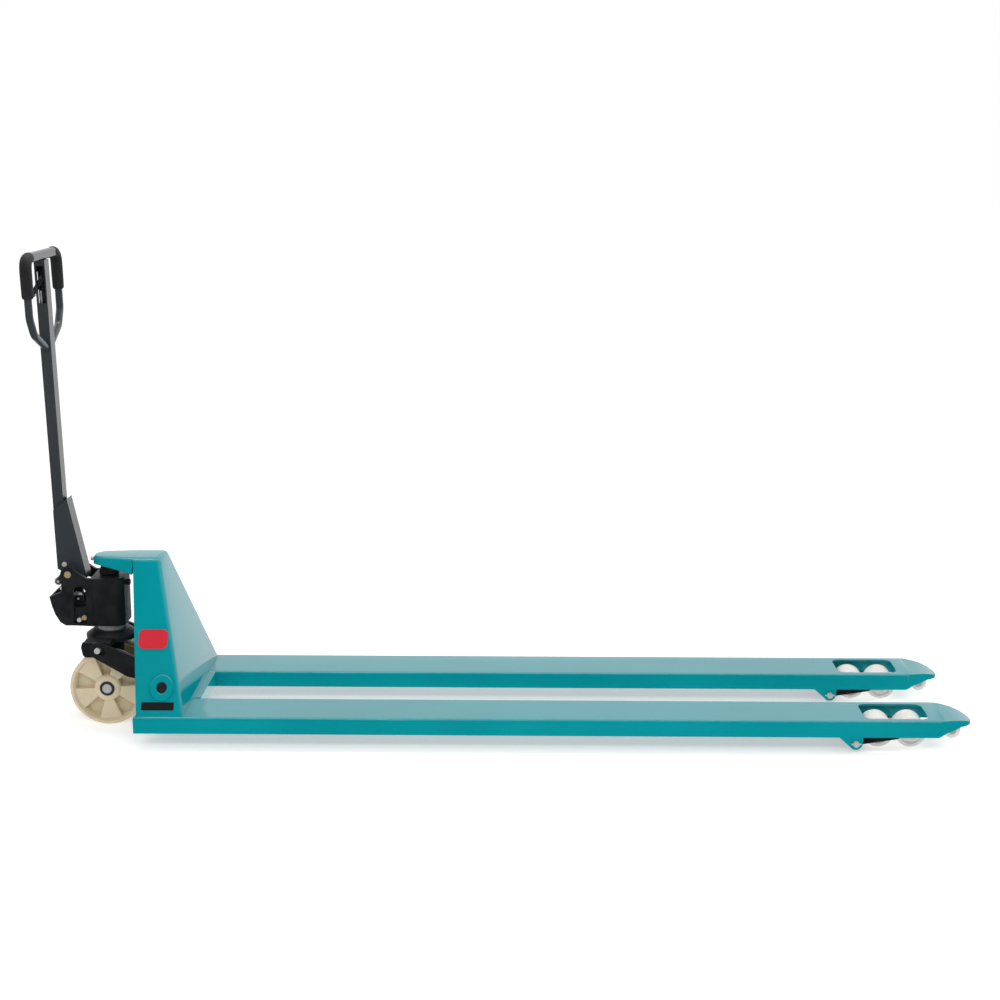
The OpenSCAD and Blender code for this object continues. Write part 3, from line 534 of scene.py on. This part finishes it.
class PALLETTRUCK_OT_forks(bpy.types.Operator):
    """Pressed forks with rounded folds"""

    bl_idname = "pallet_truck.forks"
    bl_label = "Forks"

    def execute(self, context):
        for node in ("left_fork", "right_fork"):
            low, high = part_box(node)
            bm = cad_copy(node)
            folds = [e for e in bm.edges if self.outer_fold(e, low, high)]
            bmesh.ops.bevel(bm, geom=folds, offset=sizes().fold_radius, segments=5, profile=0.5,
                            affect="EDGES", material=-1, clamp_overlap=False)
            rounded(cad_piece(node, to_mesh(node, bm)), sizes().cut_edge)
        softened("cross_plate", sizes().plate_edge)
        return {"FINISHED"}

    def outer_fold(self, edge, low, high):
        """True for the folds between the top face, the side walls and the heel."""
        if len(edge.link_faces) != 2 or edge.calc_face_angle(0.0) < radians(60):
            return False
        middle = (edge.verts[0].co + edge.verts[1].co) / 2
        heights = sorted(f.normal.z for f in edge.link_faces)
        rim = min(middle.y - low.y, high.y - middle.y) < 0.002 or middle.x < low.x + 0.001
        return heights[1] > 0.99 and abs(heights[0]) < 0.1 and rim and middle.z > high.z - 0.001


class PALLETTRUCK_OT_frame(bpy.types.Operator):
    """Bent front sheet, arm over the ram and the shaft's bosses"""

    bl_idname = "pallet_truck.frame"
    bl_label = "Frame"

    def execute(self, context):
        self.sheet_metal()
        self.arm()
        self.bosses()
        return {"FINISHED"}

    def corners(self):
        """The bent sheet's corners on the left: front foot, front top, rear foot, rear top."""
        side_low, side_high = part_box("left_side_plate")
        arm_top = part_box("top_arm")[1].z
        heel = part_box("left_fork")[0].x
        foot = Vector((heel + FRONT_FOOT, side_high.y, side_low.z))
        lean = (side_high.y - side_low.y) / (side_high.z - side_low.z)
        slant = (FRONT_FOOT - FRONT_TOP) / (side_high.z - side_low.z)
        rise = arm_top - foot.z
        top = Vector((foot.x - slant * rise, foot.y - lean * rise, arm_top))
        rear_foot = Vector((heel + REAR_FOOT, foot.y, foot.z))
        rear_top = Vector((side_low.x, top.y, arm_top))
        return foot, top, rear_foot, rear_top

    def sheet_metal(self):
        foot, top, rear_foot, rear_top = self.corners()
        bm = bmesh.new()
        rings = []
        for front, rear in ((foot, rear_foot), (top, rear_top)):
            rings.append([bm.verts.new((p.x, side * p.y, p.z))
                          for p, side in ((rear, -1), (front, -1), (front, 1), (rear, 1))])
        low, high = rings
        for i in range(3):
            bm.faces.new((low[i], low[i + 1], high[i + 1], high[i]))
        bm.faces.new(high)
        bmesh.ops.recalc_face_normals(bm, faces=bm.faces)
        if max(bm.faces, key=lambda f: f.calc_center_median().z).normal.z < 0:
            bmesh.ops.reverse_faces(bm, faces=bm.faces)
        bevelled(bm, [e for e in bm.edges if len(e.link_faces) == 2], SHEET_BEND, BEND_STEPS)
        piece = link_piece("bent_sheet", to_mesh("bent_sheet", bm), "chassis", "frame_paint",
                           ("front_plate", "left_side_plate", "right_side_plate"))
        sheet(piece, SHEET_WALL, 0.0004)

    def arm(self):
        """Arm over the ram: a round nose whose sides flare out to meet the side plates."""
        foot, top, _, rear_top = self.corners()
        low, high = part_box("top_arm")
        ram_low, ram_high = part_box("ram_rod")
        axis = (ram_low.x + ram_high.x) / 2
        nose, rear = axis - low.x, rear_top.x
        slope_start, slope_end = axis - 0.016, axis + 0.056
        shallow, deep = high.z - 0.023, high.z - 0.040
        flare = rear - 0.024
        waist = nose + (top.y - nose) * (flare - axis) / (rear - axis)
        turns = 20
        angles = [pi / 2 + pi * k / turns for k in range(turns + 1)]
        round_nose = [(axis + nose * cos(angle), nose * sin(angle)) for angle in angles]
        plan = [(rear, rear_top.y), (flare, waist), *round_nose, (flare, -waist), (rear, -rear_top.y)]
        bm = bmesh.new()
        roof = bm.faces.new([bm.verts.new((x, y, high.z)) for x, y in plan])
        grown = bmesh.ops.extrude_face_region(bm, geom=[roof])
        lowered = [v for v in grown["geom"] if isinstance(v, bmesh.types.BMVert)]
        spread = (foot.y - top.y) / (top.z - foot.z) * (high.z - deep)
        for v in lowered:
            along = min(max((v.co.x - slope_start) / (slope_end - slope_start), 0.0), 1.0)
            v.co.z = shallow + (deep - shallow) * along
            if v.co.x > rear - 1e-5:
                v.co.y += spread if v.co.y > 0 else -spread
        bmesh.ops.recalc_face_normals(bm, faces=bm.faces)
        rim = [e for e in bm.edges if min(v.co.z for v in e.verts) > high.z - 1e-5
               and min(v.co.x for v in e.verts) < rear - 1e-5]
        bevelled(bm, rim, SHEET_BEND, BEND_STEPS)
        bmesh.ops.triangulate(bm, faces=[f for f in bm.faces if f.normal.z < -0.5])
        link_piece("arm_cover", to_mesh("arm_cover", bm), "chassis", "frame_paint", ("top_arm",))

    def bosses(self):
        """Pads pressed up round the shaft's ends, and a black disc standing over each bore."""
        softened("shaft_bosses", sizes().boss_edge, segments=5)
        foot, top, _, _ = self.corners()
        low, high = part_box("rocker_shaft")
        x, z = (low.x + high.x) / 2, (low.z + high.z) / 2
        rise = (top.z - foot.z) / (foot.y - top.y)
        outward = Vector((0, rise, 1)).normalized()
        standing, bore_disc_r, bore_disc_t = 0.0022, 0.0131, 0.003
        slanted = 1.13  # the bore's oval where the sheet leans
        seat = Vector((x, foot.y - (z - foot.z) / rise, z)) + outward * standing
        turn = Vector((0, 0, 1)).rotation_difference(outward).to_matrix().to_4x4()
        # A black disc as wide as the shaft sits just off the sheet over each bore and hides the shaft's end.
        bm = bmesh.new()
        bmesh.ops.create_cone(bm, cap_ends=True, segments=48, radius1=bore_disc_r, radius2=bore_disc_r,
                              depth=bore_disc_t)
        rim = [e for e in bm.edges if len(e.link_faces) == 2 and e.calc_face_angle(0) > 1
               and min(v.co.z for v in e.verts) > 0]
        bevelled(bm, rim, 0.001, 3)
        bmesh.ops.scale(bm, vec=(1, slanted, 1), verts=bm.verts)
        bmesh.ops.transform(bm, matrix=Matrix.Translation(seat) @ turn, verts=bm.verts)
        link_piece("shaft_bore_discs", to_mesh("shaft_bore_discs", mirrored(bm)), "chassis", "black_steel")


class PALLETTRUCK_OT_marks(bpy.types.Operator):
    """Blank rating labels and side badges"""

    bl_idname = "pallet_truck.marks"
    bl_label = "Labels and badges"

    def execute(self, context):
        for node in ("rating_labels", "side_badges"):
            softened(node, 0.0002, segments=1)
        return {"FINISHED"}


class PALLETTRUCK_OT_linkage(bpy.types.Operator):
    """Rocker, push rods, yokes, bogies and their pins"""

    bl_idname = "pallet_truck.linkage"
    bl_label = "Lifting linkage"

    def execute(self, context):
        for node in ("rocker_tube", "lift_arms", "crank_arms", "left_push_rod",
                     "right_push_rod", "left_yoke", "right_yoke"):
            softened(node, sizes().plate_edge)
        softened("rocker_shaft", sizes().machined_edge, slot="black_steel")
        for node in ("yoke_pivot_pins", "pivot_roll_pins", "left_bogie_plates",
                     "right_bogie_plates", "left_bogie_pins", "right_bogie_pins",
                     "tip_roller_mounts", "link_pins"):
            softened(node, sizes().machined_edge)
        return {"FINISHED"}


class PALLETTRUCK_OT_rollers(bpy.types.Operator):
    """Load rollers and tip rollers"""

    bl_idname = "pallet_truck.rollers"
    bl_label = "Rollers"

    def execute(self, context):
        for side in ("left", "right"):
            for kind in ("rear_roller", "front_roller", "tip_roller"):
                softened(f"{side}_{kind}", sizes().plate_edge)
        return {"FINISHED"}


class PALLETTRUCK_OT_wheels(bpy.types.Operator):
    """Steering wheels, their bearings and the axle"""

    bl_idname = "pallet_truck.wheels"
    bl_label = "Steering wheels"

    def execute(self, context):
        for side, outward in (("left", 1), ("right", -1)):
            self.wheel(f"{side}_steer_wheel", outward)
            softened(f"{side}_wheel_bearing", sizes().machined_edge)
        softened("steer_axle", sizes().machined_edge)
        return {"FINISHED"}

    def wheel(self, node, outward):
        """Moulded wheel whose web steps in and out between its hub and its rim."""
        low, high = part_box(node)
        middle, radius, half = (low + high) / 2, (high.z - low.z) / 2, (high.y - low.y) / 2
        bore, hub, rim = 0.020, 0.033, radius - 0.011
        web, slope = half - 0.007, 0.003
        steps, pockets = 180, 5
        profile = [(bore, half - 0.001), (hub - slope, half - 0.001), (hub, half - slope),
                   (hub + slope, web), (rim - slope, web), (rim, half - slope),
                   (rim + 0.002, half), (radius - 0.005, half), (radius - 0.0015, half - 0.0015),
                   (radius, half - 0.005)]
        bm = bmesh.new()
        ring = [bm.verts.new((r, y, 0)) for r, y in profile]
        ring += [bm.verts.new((r, -y, 0)) for r, y in reversed(profile)]
        strip = [bm.edges.new((a, b)) for a, b in zip(ring, ring[1:])]
        bmesh.ops.spin(bm, geom=ring + strip, cent=(0, 0, 0), axis=(0, 1, 0), angle=2 * pi,
                       steps=steps, use_merge=True)
        bmesh.ops.remove_doubles(bm, verts=bm.verts, dist=1e-6)
        for face in (1, -1):
            turn = 94.0 if face == outward else 58.0
            panels = [f for f in bm.faces
                      if self.in_pocket(f, face, hub + slope, rim - slope, turn, pockets)]
            grown = bmesh.ops.extrude_face_region(bm, geom=panels)
            moved = [v for v in grown["geom"] if isinstance(v, bmesh.types.BMVert)]
            bmesh.ops.delete(bm, geom=panels, context="FACES")
            bmesh.ops.translate(bm, vec=(0, -face * sizes().pocket_depth, 0), verts=moved)
            for v in moved:
                reach = Vector((v.co.x, 0, v.co.z)).length
                draft = 1.0 - 0.03 * (reach - hub) / (rim - hub)
                v.co.x, v.co.z = v.co.x * draft, v.co.z * draft
        bmesh.ops.recalc_face_normals(bm, faces=bm.faces)
        bmesh.ops.translate(bm, vec=middle, verts=bm.verts)
        rounded(cad_piece(node, to_mesh(node, bm, 40.0)), sizes().wheel_edge)

    def in_pocket(self, face, side, inner, outer, turn, pockets):
        """True for the web faces of one side that lie in one of its pockets."""
        half_angle = 15.6
        centre = face.calc_center_median()
        reach = Vector((centre.x, 0, centre.z)).length
        if not inner < reach < outer or side * face.normal.y < 0.9 or side * centre.y < 0:
            return False
        spacing = 360.0 / pockets
        angle = degrees(atan2(centre.z, centre.x)) - turn
        return abs((angle + spacing / 2) % spacing - spacing / 2) < half_angle


class PALLETTRUCK_OT_pump(bpy.types.Operator):
    """Thrust base, ram, pump and its small pieces"""

    bl_idname = "pallet_truck.pump"
    bl_label = "Pump"

    def execute(self, context):
        for node in ("thrust_base", "pump_base", "pump_housing", "valve_block"):
            softened(node, sizes().casting_edge)
        for node in ("ram_rod", "ram_head", "arm_screw", "thrust_bearing", "valve_plug",
                     "valve_screw", "filler_cap", "valve_lever", "plunger"):
            softened(node, sizes().machined_edge)
        return {"FINISHED"}


class PALLETTRUCK_OT_spring(bpy.types.Operator):
    """Wound spring round the plunger"""

    bl_idname = "pallet_truck.spring"
    bl_label = "Plunger spring"

    def execute(self, context):
        low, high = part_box("plunger_spring")
        wire = 1.3 * MM
        radius = (high.x - low.x) / 2 - wire
        turns = sizes().spring_turns
        steps = 24 * turns
        path = []
        for i in range(steps + 1):
            t = i / steps
            rise = min(max((t * turns - 0.75) / (turns - 1.5), 0.0), 1.0)
            angle = 2 * pi * t * turns
            path.append(Vector(((low.x + high.x) / 2 + radius * cos(angle), radius * sin(angle),
                                low.z + wire + rise * (high.z - low.z - 2 * wire))))
        bm = tube_bmesh(path, [wire] * len(path), 8)
        piece = link_piece("spring_coil", to_mesh("spring_coil", bm), "steering", "zinc",
                           ("plunger_spring",))
        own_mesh(piece)
        return {"FINISHED"}


class PALLETTRUCK_OT_tiller(bpy.types.Operator):
    """Tiller bracket, tube, pins and press roller"""

    bl_idname = "pallet_truck.tiller"
    bl_label = "Tiller"

    def execute(self, context):
        for node in ("tiller_bracket", "tiller_tube"):
            softened(node, sizes().plate_edge)
        for node in ("tiller_pivot_pin", "bracket_bolt", "press_roller", "release_lever",
                     "release_rod"):
            softened(node, sizes().machined_edge)
        return {"FINISHED"}


class PALLETTRUCK_OT_handle(bpy.types.Operator):
    """Bent tube of the handle loop"""

    bl_idname = "pallet_truck.handle"
    bl_label = "Handle loop"

    def execute(self, context):
        place = tiller_place()
        low, high = (place.inverted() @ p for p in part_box("handle_loop"))
        tube_r = 10.0
        x, half, top = TUBE_X, high.y - tube_r, high.z - 12.0
        corners = [(x, 6, top - 242), (x, half - 29, top - 194), (x, half, top - 150),
                   (x, half, top), (x, 0, top)]
        path = fillet(corners, (40, 34, 32), 12)
        bm = mirrored(tube_bmesh(path, [tube_r] * len(path), 24))
        bmesh.ops.transform(bm, matrix=place, verts=bm.verts)
        link_piece("handle_tube", to_mesh("handle_tube", bm), "tiller", "tiller_paint",
                   ("handle_loop",))
        bar = bmesh.new()
        bmesh.ops.create_cube(bar, size=1.0, matrix=Matrix.Translation((x, 0, top))
                              @ Matrix.Diagonal((23.0, 2 * (half - 33), 25.0, 1.0)))
        bevelled(bar, [e for e in bar.edges if abs(e.verts[0].co.y - e.verts[1].co.y) > 1], 8.5, 6)
        bmesh.ops.transform(bar, matrix=place, verts=bar.verts)
        link_piece("crossbar", to_mesh("crossbar", bar), "tiller", "tiller_paint")
        return {"FINISHED"}


class PALLETTRUCK_OT_grips(bpy.types.Operator):
    """Rubber grips round the handle's corners"""

    bl_idname = "pallet_truck.grips"
    bl_label = "Grips"

    def execute(self, context):
        place = tiller_place()
        low, high = (place.inverted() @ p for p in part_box("grips"))
        grip_r, lip_r = 15.5, 12.4
        x, half, top = TUBE_X, high.y - grip_r, high.z - grip_r
        path = fillet([(x, half, low.z), (x, half, top), (x, half - 38, top)], (32,), 14)
        fine = []
        for a, b in zip(path, path[1:]):
            count = max(1, int((b - a).length / 4))
            fine += [a.lerp(b, k / count) for k in range(count)]
        fine.append(path[-1])
        radii = []
        travelled = 0.0
        total = sum((b - a).length for a, b in zip(fine, fine[1:]))
        for i, p in enumerate(fine):
            if i:
                travelled += (p - fine[i - 1]).length
            start = min(1.0, travelled / 5.0)
            end = min(1.0, (total - travelled) / 4.0)
            swell = 0.6 * sin(pi * travelled / total)
            radii.append(lip_r + (grip_r - 13.0) * min(start, end) ** 0.5 + swell)
        bm = mirrored(tube_bmesh(fine, radii, 28))
        bmesh.ops.transform(bm, matrix=place, verts=bm.verts)
        link_piece("rubber_grips", to_mesh("rubber_grips", bm, 50.0), "tiller", "black_rubber",
                   ("grips",))
        return {"FINISHED"}


OPERATORS = (
    PALLETTRUCK_OT_stage, PALLETTRUCK_OT_forks, PALLETTRUCK_OT_frame, PALLETTRUCK_OT_marks,
    PALLETTRUCK_OT_linkage, PALLETTRUCK_OT_rollers, PALLETTRUCK_OT_wheels, PALLETTRUCK_OT_pump,
    PALLETTRUCK_OT_spring, PALLETTRUCK_OT_tiller, PALLETTRUCK_OT_handle, PALLETTRUCK_OT_grips,
)


class PALLETTRUCK_PT_panel(bpy.types.Panel):
    bl_idname = "PALLETTRUCK_PT_panel"
    bl_label = "Pallet Truck"
    bl_space_type = "VIEW_3D"
    bl_region_type = "UI"
    bl_category = "Pallet Truck"

    def draw(self, context):
        for group in (context.scene.pallet_truck_look, context.scene.pallet_truck_sizes):
            for key in group.__annotations__:
                self.layout.prop(group, key)
        for operator in OPERATORS:
            self.layout.operator(operator.bl_idname)


CLASSES = (PALLETTRUCK_PG_look, PALLETTRUCK_PG_sizes, *OPERATORS, PALLETTRUCK_PT_panel)


def register():
    for cls in CLASSES:
        bpy.utils.register_class(cls)
    bpy.types.Scene.pallet_truck_look = PointerProperty(type=PALLETTRUCK_PG_look)
    bpy.types.Scene.pallet_truck_sizes = PointerProperty(type=PALLETTRUCK_PG_sizes)


def unregister():
    del bpy.types.Scene.pallet_truck_sizes
    del bpy.types.Scene.pallet_truck_look
    for cls in reversed(CLASSES):
        bpy.utils.unregister_class(cls)


def main():
    register()
    FINISHES.update(make_finishes(look()))
    for operator in OPERATORS:
        group, name = operator.bl_idname.split(".")
        getattr(getattr(bpy.ops, group), name)()


if __name__ == "__main__":
    main()
